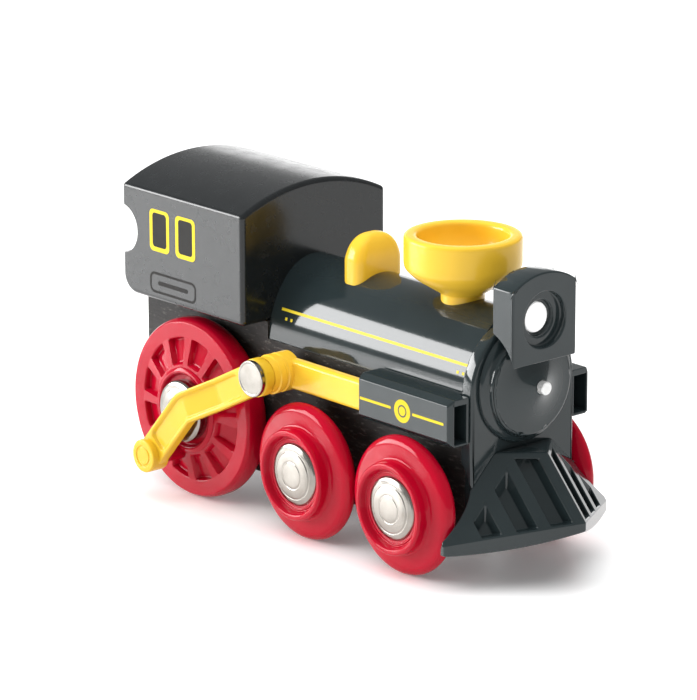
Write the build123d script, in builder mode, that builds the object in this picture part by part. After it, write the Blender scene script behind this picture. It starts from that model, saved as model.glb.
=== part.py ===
from build123d import *

import os
from math import cos, pi, sin

# Toy steam locomotive for a wooden railway.
# Frame: +X forward (cowcatcher), +Y left, +Z up, floor at z = 0, all sizes in mm.
# Right is the -Y side. Side-dependent pieces are built by functions that take side = +1 (left) or -1 (right).
# Every piece is drawn in one set of coordinates and moved along X by ORIGIN_SHIFT as it is saved,
# which puts the origin under the middle of the whole engine, from magnet to cowcatcher.

os.makedirs("parts", exist_ok=True)

LEFT = 1
RIGHT = -1

# Fits
AXLE_CLEARANCE = 0.06
SLIDE_CLEARANCE = 0.3
PIN_CLEARANCE = 0.05
WHEEL_CLEARANCE = 0.45
CORE_GAP = 0.2

# Wooden body
BODY_REAR = -41.6
CHASSIS_HALF = 10.0
CHASSIS_BOTTOM = 6.0
DECK_Z = 28.8
CAB_FLOOR = 31.6
CAB_FRONT = -11.0
CAB_HALF = 15.2
CAB_EAVE = 49.7
CAB_APEX = 53.4
CAB_EDGE = 0.8
CAB_TAIL_RADIUS = 3.2
GROOVE_RADIUS = 4.1
GROOVE_X = -41.7
GROOVE_Z = 42.2

# Boiler
BOILER_HALF = 9.8
SHOULDER = (8.9, 33.6)
CREASE = (5.4, 39.2)
BOILER_TOP = 41.3
BOILER_FRONT = 35.6
SHELL_WALL = 1.8

# Smokebox front
PLATE_HALF = 10.95
PLATE_ARCH_Z = 29.9
PLATE_ARCH = 10.75
PLATE_BOTTOM = 8.2
PLATE_FRONT = 37.85
PLATE_EDGE = 0.5
DOOR_Z = 30.45
DOOR_BASE_RADIUS = 9.6
DOOR_BASE_X = 38.7
DOOR_RADIUS = 8.3
DOOR_RIM_X = 40.0
DOOR_EDGE = 0.3
DOOR_DOME_X = 42.85
RIVET_RADIUS = 1.05
RIVET_HEAD = 0.25
RIVET_SHANK = 1.0

# Headlamp
LAMP_FRONT = 42.5
LAMP_HALF = 6.65
LAMP_EAVE = 46.6
LAMP_APEX = 48.75
LAMP_BOTTOM = 34.5
LAMP_EDGE = 0.5
LAMP_SADDLE = ((PLATE_FRONT, 39.3), (40.7, 37.4), (LAMP_FRONT, LAMP_BOTTOM))
LAMP_Z = 41.25
RECESS_RADIUS = 4.4
RECESS_STEP_RADIUS = 2.9
RECESS_STEP_X = 41.3
RECESS_FLOOR_X = 40.5
LENS_RADIUS = 2.4
LENS_THICKNESS = 0.35

# Dome and funnel
DOME_REAR = 0.75
DOME_FRONT = 5.25
DOME_HALF = 4.85
DOME_EAVE = 44.3
DOME_APEX = 47.5
DOME_CORNER = 1.3
DOME_EDGE = 1.2
FUNNEL_X = 24.1
FUNNEL_TOP = 51.3
FUNNEL_RADIUS = 9.25
FUNNEL_MOUTH = 7.2
FUNNEL_RIM = 0.6
FUNNEL_CONE = ((3.45, 41.9), (7.5, 44.4), (9.0, 45.8), (9.25, 46.4))
FUNNEL_BOWL = ((6.6, 47.9), (4.6, 45.2), (0, 44.9))
FUNNEL_ROOT = 40.1

# Cowcatcher: two leaning facets that meet in a prow, over a lip that rises towards the nose
PLOW_TOP = 20.3
PLOW_CREST_X = 43.3
PLOW_NOSE_X = 51.9
PLOW_NOSE_TOP = 11.0
PLOW_NOSE_BOTTOM = 9.7
PLOW_CORNER_X = 38.9
PLOW_CORNER_TOP = 7.8
PLOW_CORNER_BOTTOM = 6.1
PLOW_LIP_MIDDLE = (45.2, 7.1)
PLOW_HALF = 17.3
PLOW_WALL = 3.0
PLOW_GROOVE = 1.7
GROOVE_REAR_X = 40.2
GROOVE_TOP = 19.4
GROOVE_FOOT_RISE = 0.35
PLOW_GROOVES = ((1.3, 3.95), (5.6, 8.1), (10.0, 12.4))

# Cylinder boxes
BOX_REAR = 16.3
BOX_FRONT = 37.4
BOX_OUTER = 14.8
BOX_BOTTOM = 22.5
BOX_TOP = 30.0
BOX_BEVEL = 0.9
BOX_NOSE_BEVEL = 0.7
CHANNEL_OUTER = 14.0
CHANNEL_INNER = 11.4
CHANNEL_BOTTOM = 22.95
CHANNEL_TOP = 28.9

# Wheels
REAR_AXLE_X = -24.8
MIDDLE_AXLE_X = 4.0
FRONT_AXLE_X = 27.0
REAR_RADIUS = 14.95
SMALL_RADIUS = 11.1
AXLE_RADIUS = 1.5
WHEEL_INNER = 10.5
SMALL_HUB_FACE = 15.9
REAR_FACE = 15.05
REAR_HUB_FACE = 15.6
CAP_RADIUS = 5.1
CAP_RISE = 0.9
SMALL_CAP_Y = 17.3
REAR_CAP_Y = 17.1
POCKET_COUNT = 12
POCKET_START = 0.29
POCKET_HALF_ANGLE = 0.19
POCKET_INNER = 7.2
POCKET_OUTER = 11.9
POCKET_FLOOR = 14.0
HUB_FOOT = 15.9
HUB_CREST = 16.4

# Piston, pin and connecting rod
PIN_X = -3.4
PIN_Z = 25.7
PIN_RADIUS = 1.1
PIN_CAP_RADIUS = 2.95
PIN_CAP_THICKNESS = 0.7
BAR_OUTER = 13.7
BAR_INNER = 11.7
BAR_HEIGHT = 4.9
BAR_FRONT = 20.3
BAR_ROUND = 0.7
BOSS_RADIUS = 3.2
BOSS_FACE = 17.45
ROD_INNER = 17.6
ROD_FRONT_FACE = 19.4
ROD_REAR_INNER = 19.3
ROD_REAR_FACE = 21.2
ROD_HALF_WIDTH = 2.6
ROD_BORDER = 0.9
ROD_WEB_DEPTH = 0.5
KNEE_X = -19.6
KNEE_Z = 17.4
CRANK_X = -28.2
CRANK_Z = 7.6
EYE_RADIUS = 3.1
CRANK_EYE_RADIUS = 2.75
CRANK_EYE_INNER = 19.0
CRANK_EYE_FACE = 22.3
EYE_RING = (1.5, 1.75)
EYE_RING_DEPTH = 0.15
CRANK_PIN_RADIUS = 1.2
CRANK_PIN_END = 18.3
CRANK_BOSS_RADIUS = 1.9
CRANK_BOSS_FACE = 18.0
JOGGLE_START = -12.6
JOGGLE_END = -17.2

# Hidden fixings
MAGNET_Z = 13.0
CUP_RADIUS = 5.2
CUP_DEPTH = 2.2
CUP_FLOOR = 0.8
MAGNET_RADIUS = 4.4
MAGNET_REAR = -44.4
HITCH_SCREW_RADIUS = 1.0
HITCH_SCREW_HEAD = 1.8
HITCH_SCREW_LENGTH = 3.6
SCREW_X = (-36.0, -14.0)
SCREW_RADIUS = 1.4
SCREW_HEAD_RADIUS = 2.8
SCREW_HEAD_HEIGHT = 1.6
SCREW_RECESS = 1.2
SCREW_TIP = 39.0

# The whole engine reaches from the magnet's face to the nose of the cowcatcher
ORIGIN_SHIFT = -(PLOW_NOSE_X + MAGNET_REAR) / 2


def save(part, node):
    shift = Location((ORIGIN_SHIFT, 0, 0))
    if part.children:
        placed = Compound(children=[child.moved(shift) for child in part.children])
    else:
        placed = part.moved(shift)
    placed.label = node
    export_step(placed, f"parts/{node}.step")


def boiler_outline(inset=0.0):
    """Boiler cross-section in a YZ sketch, shrunk on the sides and top by inset."""
    half = BOILER_HALF - inset
    shoulder = (SHOULDER[0] - inset, SHOULDER[1] - inset * 0.4)
    crease = (CREASE[0] - inset * 0.6, CREASE[1] - inset)
    top = (0, BOILER_TOP - inset)
    with BuildLine() as outline:
        Line((-half, DECK_Z), (half, DECK_Z))
        ThreePointArc((half, DECK_Z), shoulder, crease)
        ThreePointArc(crease, top, (-crease[0], crease[1]))
        ThreePointArc((-crease[0], crease[1]), (-shoulder[0], shoulder[1]), (-half, DECK_Z))
    make_face(outline.edges())


def arched_outline(half, bottom, eave, apex):
    """Upright rectangle with an arched top, for a YZ sketch."""
    with BuildLine() as outline:
        Polyline((-half, eave), (-half, bottom), (half, bottom), (half, eave))
        ThreePointArc((half, eave), (0, apex), (-half, eave))
    make_face(outline.edges())


def front_wheel_space():
    """Room kept free around both front wheels."""
    with BuildPart() as space:
        for side in (LEFT, RIGHT):
            with BuildSketch(Plane.XZ.offset(-side * WHEEL_INNER + side * SLIDE_CLEARANCE)):
                with Locations((FRONT_AXLE_X, SMALL_RADIUS)):
                    Circle(SMALL_RADIUS + WHEEL_CLEARANCE)
            extrude(amount=-side * (PLOW_HALF - WHEEL_INNER + 2))
    return space.part


def turned(points, x, z):
    """Solid of revolution about the axle line through (x, z); points are (radius, y)."""
    with BuildPart() as solid:
        with BuildSketch(Plane((x, 0, z))):
            with BuildLine():
                Polyline(*points, close=True)
            make_face()
        revolve(axis=Axis((x, 0, z), (0, 1, 0)))
    return solid.part


def side_slab(side, inner):
    """Upright XZ sketch plane whose sketches are extruded outward by -side * thickness."""
    return Plane.XZ.offset(-side * inner)


# ---------------------------------------------------------------- wooden chassis
with BuildPart() as chassis_block:
    with BuildSketch(Plane.YZ.offset(BODY_REAR)):
        with Locations((0, (CHASSIS_BOTTOM + CAB_FLOOR) / 2)):
            Rectangle(2 * CHASSIS_HALF, CAB_FLOOR - CHASSIS_BOTTOM)
    extrude(amount=CAB_FRONT - BODY_REAR)
    with BuildSketch(Plane.YZ.offset(CAB_FRONT)):
        with Locations((0, (CHASSIS_BOTTOM + DECK_Z) / 2)):
            Rectangle(2 * CHASSIS_HALF, DECK_Z - CHASSIS_BOTTOM)
    extrude(amount=BOILER_FRONT - CAB_FRONT)
    with BuildSketch(Plane.YZ.offset(CAB_FRONT)):
        boiler_outline(SHELL_WALL + CORE_GAP)
    extrude(amount=BOILER_FRONT - SHELL_WALL - CORE_GAP - CAB_FRONT)
    for axle_x, axle_z in (
        (REAR_AXLE_X, REAR_RADIUS),
        (MIDDLE_AXLE_X, SMALL_RADIUS),
        (FRONT_AXLE_X, SMALL_RADIUS),
    ):
        with BuildSketch(Plane.XZ.offset(-CHASSIS_HALF)):
            with Locations((axle_x, axle_z)):
                Circle(AXLE_RADIUS + AXLE_CLEARANCE)
        extrude(amount=2 * CHASSIS_HALF, mode=Mode.SUBTRACT)
    for screw_x in SCREW_X:
        with BuildSketch(Plane.XY.offset(CHASSIS_BOTTOM)):
            with Locations((screw_x, 0)):
                Circle(SCREW_HEAD_RADIUS + PIN_CLEARANCE)
        extrude(amount=SCREW_RECESS + SCREW_HEAD_HEIGHT, mode=Mode.SUBTRACT)
        with BuildSketch(Plane.XY.offset(CHASSIS_BOTTOM)):
            with Locations((screw_x, 0)):
                Circle(SCREW_RADIUS)
        extrude(amount=CAB_FLOOR - CHASSIS_BOTTOM, mode=Mode.SUBTRACT)
    with BuildSketch(Plane.YZ.offset(BODY_REAR)):
        with Locations((0, MAGNET_Z)):
            Circle(HITCH_SCREW_RADIUS)
    extrude(amount=HITCH_SCREW_LENGTH, mode=Mode.SUBTRACT)
save(chassis_block.part, "chassis_block")

# ---------------------------------------------------------------- cab
with BuildPart() as cab_block:
    with BuildSketch(Plane.YZ.offset(BODY_REAR)):
        arched_outline(CAB_HALF, CAB_FLOOR, CAB_EAVE, CAB_APEX)
    extrude(amount=CAB_FRONT - BODY_REAR)
    tail_edge = cab_block.edges().filter_by(Axis.Y).sort_by(Axis.X)[0:1]
    fillet(tail_edge, CAB_TAIL_RADIUS)
    side_faces = cab_block.faces().filter_by(Axis.Y)
    front_faces = cab_block.faces().filter_by(Axis.X).sort_by(Axis.X)[-1:]
    roof_faces = cab_block.faces().sort_by(Axis.Z)[-1:]
    fillet((side_faces + front_faces + roof_faces).edges(), CAB_EDGE)
    with BuildSketch(Plane.XZ.offset(-CAB_HALF)):
        with Locations((GROOVE_X, GROOVE_Z)):
            Circle(GROOVE_RADIUS)
    extrude(amount=2 * CAB_HALF, mode=Mode.SUBTRACT)
    with BuildSketch(Plane.XY.offset(CAB_FLOOR)):
        for screw_x in SCREW_X:
            with Locations((screw_x, 0)):
                Circle(SCREW_RADIUS)
    extrude(amount=SCREW_TIP - CAB_FLOOR, mode=Mode.SUBTRACT)
save(cab_block.part, "cab_block")

# ---------------------------------------------------------------- boiler shell
with BuildPart() as boiler_shell:
    with BuildSketch(Plane.YZ.offset(CAB_FRONT)):
        boiler_outline()
    extrude(amount=BOILER_FRONT - CAB_FRONT)
    with BuildSketch(Plane.YZ.offset(CAB_FRONT)):
        boiler_outline(SHELL_WALL)
    extrude(amount=BOILER_FRONT - SHELL_WALL - CAB_FRONT, mode=Mode.SUBTRACT)
save(boiler_shell.part, "boiler_shell")

# ---------------------------------------------------------------- smokebox plate
with BuildPart() as smokebox_plate:
    with BuildSketch(Plane.YZ.offset(BOILER_FRONT)):
        with BuildLine():
            Polyline(
                (-PLATE_ARCH, PLATE_ARCH_Z),
                (-PLATE_HALF, PLATE_BOTTOM),
                (PLATE_HALF, PLATE_BOTTOM),
                (PLATE_ARCH, PLATE_ARCH_Z),
            )
            ThreePointArc(
                (PLATE_ARCH, PLATE_ARCH_Z),
                (0, PLATE_ARCH_Z + PLATE_ARCH),
                (-PLATE_ARCH, PLATE_ARCH_Z),
            )
        make_face()
    extrude(amount=PLATE_FRONT - BOILER_FRONT)
    front_edges = smokebox_plate.edges().group_by(Axis.X)[-1]
    fillet(front_edges.filter_by(lambda e: e.center().Z > PLATE_BOTTOM + 1), PLATE_EDGE)
    add(front_wheel_space(), mode=Mode.SUBTRACT)
save(smokebox_plate.part, "smokebox_plate")

# ---------------------------------------------------------------- headlamp
with BuildPart() as lamp_shell:
    with BuildSketch(Plane.YZ.offset(PLATE_FRONT)):
        arched_outline(LAMP_HALF, LAMP_BOTTOM, LAMP_EAVE, LAMP_APEX)
    extrude(amount=LAMP_FRONT - PLATE_FRONT)
    eave_edges = lamp_shell.edges().filter_by(Axis.X).filter_by(lambda e: e.center().Z > LAMP_EAVE - 1)
    fillet(eave_edges, LAMP_EDGE)
    with BuildSketch(Plane.XZ.offset(-LAMP_HALF)):
        with BuildLine():
            ThreePointArc(*LAMP_SADDLE)
            Polyline(LAMP_SADDLE[-1], (PLATE_FRONT, LAMP_BOTTOM), LAMP_SADDLE[0])
        make_face()
    extrude(amount=2 * LAMP_HALF, mode=Mode.SUBTRACT)

with BuildPart() as headlamp_housing:
    add(lamp_shell.part)
    with BuildSketch(Plane.YZ.offset(LAMP_FRONT)):
        with Locations((0, LAMP_Z)):
            Circle(RECESS_RADIUS)
    extrude(amount=RECESS_STEP_X - LAMP_FRONT, mode=Mode.SUBTRACT)
    with BuildSketch(Plane.YZ.offset(RECESS_STEP_X)):
        with Locations((0, LAMP_Z)):
            Circle(RECESS_STEP_RADIUS)
    extrude(amount=RECESS_FLOOR_X - LENS_THICKNESS - RECESS_STEP_X, mode=Mode.SUBTRACT)
save(headlamp_housing.part, "headlamp_housing")

with BuildPart() as headlamp_lens:
    with BuildSketch(Plane.YZ.offset(RECESS_FLOOR_X - LENS_THICKNESS)):
        with Locations((0, LAMP_Z)):
            Circle(LENS_RADIUS)
    extrude(amount=LENS_THICKNESS)
    fillet(headlamp_lens.edges().group_by(Axis.X)[-1], 0.2)
save(headlamp_lens.part, "headlamp_lens")

# ---------------------------------------------------------------- smokebox door, cut to fit under the lamp
with BuildPart() as smokebox_door:
    with BuildSketch(Plane.XZ):
        with BuildLine():
            Polyline(
                (PLATE_FRONT, DOOR_Z),
                (PLATE_FRONT, DOOR_Z + DOOR_BASE_RADIUS),
                (DOOR_BASE_X, DOOR_Z + DOOR_BASE_RADIUS - DOOR_EDGE),
                (DOOR_BASE_X + DOOR_EDGE, DOOR_Z + DOOR_RADIUS),
                (DOOR_RIM_X - DOOR_EDGE, DOOR_Z + DOOR_RADIUS),
                (DOOR_RIM_X, DOOR_Z + DOOR_RADIUS - DOOR_EDGE),
            )
            RadiusArc(
                (DOOR_RIM_X, DOOR_Z + DOOR_RADIUS - DOOR_EDGE),
                (DOOR_DOME_X, DOOR_Z),
                -((DOOR_RADIUS - DOOR_EDGE) ** 2 + (DOOR_DOME_X - DOOR_RIM_X) ** 2)
                / (2 * (DOOR_DOME_X - DOOR_RIM_X)),
            )
            Line((DOOR_DOME_X, DOOR_Z), (PLATE_FRONT, DOOR_Z))
        make_face()
    revolve(axis=Axis((0, 0, DOOR_Z), (1, 0, 0)))
    add(lamp_shell.part, mode=Mode.SUBTRACT)
    with BuildSketch(Plane.YZ.offset(DOOR_DOME_X)):
        with Locations((0, DOOR_Z)):
            Circle(RIVET_RADIUS)
    extrude(amount=-RIVET_SHANK, mode=Mode.SUBTRACT)
save(smokebox_door.part, "smokebox_door")

with BuildPart() as door_rivet:
    with BuildSketch(Plane.YZ.offset(DOOR_DOME_X - RIVET_SHANK)):
        with Locations((0, DOOR_Z)):
            Circle(RIVET_RADIUS)
    extrude(amount=RIVET_SHANK + RIVET_HEAD)
    fillet(door_rivet.edges().group_by(Axis.X)[-1], RIVET_HEAD * 0.8)
save(door_rivet.part, "door_rivet")

# ---------------------------------------------------------------- dome and funnel
with BuildPart() as dome:
    with BuildSketch(Plane.YZ.offset(DOME_REAR)):
        arched_outline(DOME_HALF, DECK_Z, DOME_EAVE, DOME_APEX)
    extrude(amount=DOME_FRONT - DOME_REAR)
    with BuildSketch(Plane.XY.offset(DECK_Z)):
        with Locations(((DOME_REAR + DOME_FRONT) / 2, 0)):
            RectangleRounded(DOME_FRONT - DOME_REAR, 2 * DOME_HALF, DOME_CORNER)
    extrude(amount=DOME_APEX - DECK_Z, mode=Mode.INTERSECT)
    fillet(dome.edges().filter_by(lambda e: e.center().Z > DOME_EAVE - 0.5), DOME_EDGE)
    with BuildSketch(Plane.YZ.offset(CAB_FRONT)):
        boiler_outline()
    extrude(amount=BOILER_FRONT - CAB_FRONT, mode=Mode.SUBTRACT)
save(dome.part, "dome")

with BuildPart() as funnel:
    with BuildSketch(Plane((FUNNEL_X, 0, 0), x_dir=(1, 0, 0), z_dir=(0, -1, 0))):
        with BuildLine():
            Polyline(
                FUNNEL_BOWL[-1],
                (0, FUNNEL_ROOT),
                (FUNNEL_CONE[0][0], FUNNEL_ROOT),
                *FUNNEL_CONE,
                (FUNNEL_RADIUS, FUNNEL_TOP - FUNNEL_RIM),
            )
            RadiusArc(
                (FUNNEL_RADIUS, FUNNEL_TOP - FUNNEL_RIM),
                (FUNNEL_RADIUS - FUNNEL_RIM, FUNNEL_TOP),
                -FUNNEL_RIM,
            )
            Line((FUNNEL_RADIUS - FUNNEL_RIM, FUNNEL_TOP), (FUNNEL_MOUTH + FUNNEL_RIM, FUNNEL_TOP))
            RadiusArc(
                (FUNNEL_MOUTH + FUNNEL_RIM, FUNNEL_TOP),
                (FUNNEL_MOUTH, FUNNEL_TOP - FUNNEL_RIM),
                -FUNNEL_RIM,
            )
            Spline((FUNNEL_MOUTH, FUNNEL_TOP - FUNNEL_RIM), *FUNNEL_BOWL, tangents=((0, -1), (-1, 0)))
        make_face()
    revolve(axis=Axis((FUNNEL_X, 0, 0), (0, 0, 1)))
    with BuildSketch(Plane.YZ.offset(CAB_FRONT)):
        boiler_outline()
    extrude(amount=BOILER_FRONT - CAB_FRONT, mode=Mode.SUBTRACT)
save(funnel.part, "funnel")

# ---------------------------------------------------------------- cowcatcher
def facet_planes(inset):
    """Outward planes of the left and right facets, moved inward by inset."""
    planes = []
    nose = Vector(PLOW_NOSE_X, 0, PLOW_NOSE_TOP)
    crest = Vector(PLOW_CREST_X, 0, PLOW_TOP)
    for side in (LEFT, RIGHT):
        corner = Vector(PLOW_CORNER_X, side * PLOW_HALF, PLOW_CORNER_TOP)
        normal = (corner - nose).cross(crest - nose).normalized() * side
        planes.append(Plane(nose - normal * inset, z_dir=normal))
    return planes


def behind_facets(inset, half):
    """Block of half-width half in front of the plate that stays inset behind both facets."""
    with BuildPart() as block:
        with BuildSketch():
            with Locations(((PLATE_FRONT + PLOW_NOSE_X) / 2, 0)):
                Rectangle(PLOW_NOSE_X - PLATE_FRONT, 2 * half)
        extrude(amount=PLOW_TOP)
        for facet in facet_planes(inset):
            split(bisect_by=facet, keep=Keep.BOTTOM)
    return block.part


def groove_foot(x):
    """Height of the lower end of the grooves, a little above the lip that rises to the nose."""
    rise = (PLOW_NOSE_TOP - PLOW_CORNER_TOP) / (PLOW_NOSE_X - PLOW_CORNER_X)
    return PLOW_CORNER_TOP + rise * (x - PLOW_CORNER_X) + GROOVE_FOOT_RISE


with BuildPart() as plow_grooves:
    for side in (LEFT, RIGHT):
        for inner, outer in PLOW_GROOVES:
            with BuildSketch(side_slab(side, inner)):
                with BuildLine():
                    Polyline(
                        (GROOVE_REAR_X, groove_foot(GROOVE_REAR_X)),
                        (PLOW_NOSE_X, groove_foot(PLOW_NOSE_X)),
                        (PLOW_NOSE_X, GROOVE_TOP),
                        (GROOVE_REAR_X, GROOVE_TOP),
                        close=True,
                    )
                make_face()
            extrude(amount=-side * (outer - inner))
    add(behind_facets(PLOW_GROOVE, PLOW_HALF), mode=Mode.SUBTRACT)

with BuildPart() as cowcatcher:
    with BuildSketch(Plane.XZ.offset(-PLOW_HALF)):
        with BuildLine():
            ThreePointArc(
                (PLOW_CORNER_X, PLOW_CORNER_BOTTOM),
                PLOW_LIP_MIDDLE,
                (PLOW_NOSE_X, PLOW_NOSE_BOTTOM),
            )
            Polyline(
                (PLOW_NOSE_X, PLOW_NOSE_BOTTOM),
                (PLOW_NOSE_X, PLOW_TOP),
                (PLATE_FRONT, PLOW_TOP),
                (PLATE_FRONT, PLOW_CORNER_BOTTOM),
                (PLOW_CORNER_X, PLOW_CORNER_BOTTOM),
            )
        make_face()
    extrude(amount=2 * PLOW_HALF)
    with BuildSketch():
        with BuildLine():
            Polyline(
                (PLATE_FRONT, -PLOW_HALF),
                (PLOW_CORNER_X, -PLOW_HALF),
                (PLOW_NOSE_X, 0),
                (PLOW_CORNER_X, PLOW_HALF),
                (PLATE_FRONT, PLOW_HALF),
                close=True,
            )
        make_face()
    extrude(amount=PLOW_TOP, mode=Mode.INTERSECT)
    for facet in facet_planes(0):
        split(bisect_by=facet, keep=Keep.BOTTOM)
    add(behind_facets(PLOW_WALL, PLOW_HALF - PLOW_WALL), mode=Mode.SUBTRACT)
    add(plow_grooves.part, mode=Mode.SUBTRACT)
    add(front_wheel_space(), mode=Mode.SUBTRACT)
save(cowcatcher.part, "cowcatcher")


# ---------------------------------------------------------------- cylinder boxes
def cylinder_box(side):
    with BuildPart() as box:
        with BuildSketch(Plane.YZ.offset(BOX_REAR)):
            with BuildLine():
                Polyline(
                    (side * CHASSIS_HALF, BOX_BOTTOM),
                    (side * (BOX_OUTER - BOX_BEVEL), BOX_BOTTOM),
                    (side * BOX_OUTER, BOX_BOTTOM + BOX_BEVEL),
                    (side * BOX_OUTER, BOX_TOP - BOX_BEVEL),
                    (side * (BOX_OUTER - BOX_BEVEL), BOX_TOP),
                    (side * CHASSIS_HALF, BOX_TOP),
                    close=True,
                )
            make_face()
        extrude(amount=BOX_FRONT - BOX_REAR)
        outer_edges = box.edges().filter_by(Axis.Z).sort_by(lambda e: side * e.center().Y)[-2:]
        chamfer(outer_edges.sort_by(Axis.X)[-1:], BOX_NOSE_BEVEL)
        with BuildSketch(Plane.YZ.offset(BOX_REAR)):
            with Locations((side * (CHANNEL_INNER + CHANNEL_OUTER) / 2, (CHANNEL_BOTTOM + CHANNEL_TOP) / 2)):
                Rectangle(CHANNEL_OUTER - CHANNEL_INNER, CHANNEL_TOP - CHANNEL_BOTTOM)
        extrude(amount=BOX_FRONT - BOX_REAR, mode=Mode.SUBTRACT)
        with BuildSketch(Plane.YZ.offset(BOILER_FRONT)):
            with Locations((0, (BOX_BOTTOM + BOX_TOP) / 2)):
                Rectangle(2 * PLATE_HALF, BOX_TOP - BOX_BOTTOM)
        extrude(amount=BOX_FRONT - BOILER_FRONT, mode=Mode.SUBTRACT)
    return box.part


save(cylinder_box(RIGHT), "cylinder_right")
save(cylinder_box(LEFT), "cylinder_left")


# ---------------------------------------------------------------- wheels, caps and axles
def small_wheel(x, side):
    outline = [
        (AXLE_RADIUS, WHEEL_INNER),
        (5.0, WHEEL_INNER),
        (5.0, 12.7),
        (9.4, 12.8),
        (10.1, 13.3),
        (10.6, 13.75),
        (10.95, 14.15),
        (SMALL_RADIUS, 14.5),
        (SMALL_RADIUS, 14.95),
        (10.8, 15.5),
        (10.2, 15.95),
        (8.5, 16.3),
        (7.5, 16.55),
        (7.35, 16.8),
        (7.35, 18.1),
        (7.25, 18.4),
        (7.05, 18.5),
        (6.5, 18.5),
        (6.3, 18.35),
        (6.0, SMALL_CAP_Y + 0.2),
        (5.8, SMALL_CAP_Y + 0.1),
        (CAP_RADIUS, SMALL_CAP_Y),
        (CAP_RADIUS, SMALL_HUB_FACE),
        (AXLE_RADIUS, SMALL_HUB_FACE),
    ]
    return turned([(r, side * y) for r, y in outline], x, SMALL_RADIUS)


def rear_wheel(side):
    outline = [
        (AXLE_RADIUS, WHEEL_INNER),
        (13.4, WHEEL_INNER),
        (14.5, 11.0),
        (REAR_RADIUS, 12.0),
        (REAR_RADIUS, 13.6),
        (14.8, 14.4),
        (14.35, REAR_FACE),
        (POCKET_OUTER, REAR_FACE),
        (POCKET_INNER, HUB_FOOT),
        (6.6, HUB_CREST - 0.1),
        (6.4, HUB_CREST),
        (6.1, HUB_CREST - 0.1),
        (5.8, REAR_HUB_FACE),
        (AXLE_RADIUS, REAR_HUB_FACE),
    ]
    body = turned([(r, side * y) for r, y in outline], REAR_AXLE_X, REAR_RADIUS)
    with BuildPart() as pockets:
        with BuildSketch(side_slab(side, POCKET_FLOOR)):
            for index in range(POCKET_COUNT):
                middle = POCKET_START + 2 * pi * index / POCKET_COUNT
                corners = [
                    (POCKET_INNER, middle - POCKET_HALF_ANGLE),
                    (POCKET_OUTER, middle - POCKET_HALF_ANGLE),
                    (POCKET_OUTER, middle + POCKET_HALF_ANGLE),
                    (POCKET_INNER, middle + POCKET_HALF_ANGLE),
                ]
                with BuildLine():
                    Polyline(
                        *[(REAR_AXLE_X + r * cos(a), REAR_RADIUS + r * sin(a)) for r, a in corners],
                        close=True,
                    )
                make_face()
        extrude(amount=-side * (HUB_CREST - POCKET_FLOOR))
    with BuildPart() as wheel:
        add(body)
        add(pockets.part, mode=Mode.SUBTRACT)
        with BuildSketch(side_slab(side, POCKET_FLOOR)):
            with Locations((CRANK_X, CRANK_Z)):
                Circle(CRANK_BOSS_RADIUS)
        extrude(amount=-side * (CRANK_BOSS_FACE - POCKET_FLOOR))
    return wheel.part


def hub_caps(x, z, seat, lip_y):
    """Both domed caps of one axle: seat is the hub flat they sit on, lip_y is the foot of the dome."""
    caps = []
    for side in (LEFT, RIGHT):
        outline = [
            (0, side * seat),
            (CAP_RADIUS, side * seat),
            (CAP_RADIUS, side * lip_y),
            (CAP_RADIUS - 0.3, side * (lip_y + CAP_RISE * 0.3)),
            (CAP_RADIUS - 1.2, side * (lip_y + CAP_RISE * 0.62)),
            (CAP_RADIUS - 2.5, side * (lip_y + CAP_RISE * 0.86)),
            (CAP_RADIUS - 3.8, side * (lip_y + CAP_RISE * 0.97)),
            (0, side * (lip_y + CAP_RISE)),
        ]
        caps.append(turned(outline, x, z))
    return Compound(children=caps)


def axle(x, z, reach):
    with BuildPart() as rod:
        with BuildSketch(Plane.XZ.offset(-reach)):
            with Locations((x, z)):
                Circle(AXLE_RADIUS)
        extrude(amount=2 * reach)
    return rod.part


for node, axle_x in (("front", FRONT_AXLE_X), ("middle", MIDDLE_AXLE_X)):
    save(axle(axle_x, SMALL_RADIUS, SMALL_HUB_FACE), f"{node}_axle")
    save(small_wheel(axle_x, RIGHT), f"{node}_wheel_right")
    save(small_wheel(axle_x, LEFT), f"{node}_wheel_left")
    save(hub_caps(axle_x, SMALL_RADIUS, SMALL_HUB_FACE, SMALL_CAP_Y), f"{node}_hub_caps")
save(axle(REAR_AXLE_X, REAR_RADIUS, REAR_HUB_FACE), "rear_axle")
save(rear_wheel(RIGHT), "rear_wheel_right")
save(rear_wheel(LEFT), "rear_wheel_left")
save(hub_caps(REAR_AXLE_X, REAR_RADIUS, REAR_HUB_FACE, REAR_CAP_Y), "rear_hub_caps")


# ---------------------------------------------------------------- pistons, pins and connecting rods
def piston(side):
    boss = [
        (PIN_RADIUS, BAR_INNER),
        (BOSS_RADIUS - 0.5, BAR_INNER),
        (BOSS_RADIUS, BAR_INNER + 0.5),
        (BOSS_RADIUS, 14.5),
        (BOSS_RADIUS - 0.2, 14.7),
        (BOSS_RADIUS - 0.2, 15.0),
        (BOSS_RADIUS, 15.2),
        (BOSS_RADIUS, 16.2),
        (BOSS_RADIUS - 0.2, 16.4),
        (BOSS_RADIUS - 0.2, BOSS_FACE),
        (PIN_RADIUS, BOSS_FACE),
    ]
    with BuildPart() as bar:
        with BuildSketch(side_slab(side, BAR_INNER)):
            with Locations(((PIN_X + BAR_FRONT) / 2, PIN_Z)):
                Rectangle(BAR_FRONT - PIN_X, BAR_HEIGHT)
        extrude(amount=-side * (BAR_OUTER - BAR_INNER))
        fillet(bar.edges().filter_by(Axis.X), BAR_ROUND)
        with BuildSketch(side_slab(side, BAR_INNER)):
            with Locations((PIN_X, PIN_Z)):
                Circle(BOSS_RADIUS - 0.6)
        extrude(amount=-side * (BAR_OUTER - BAR_INNER), mode=Mode.SUBTRACT)
        add(turned([(r, side * y) for r, y in boss], PIN_X, PIN_Z))
    return bar.part


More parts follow.
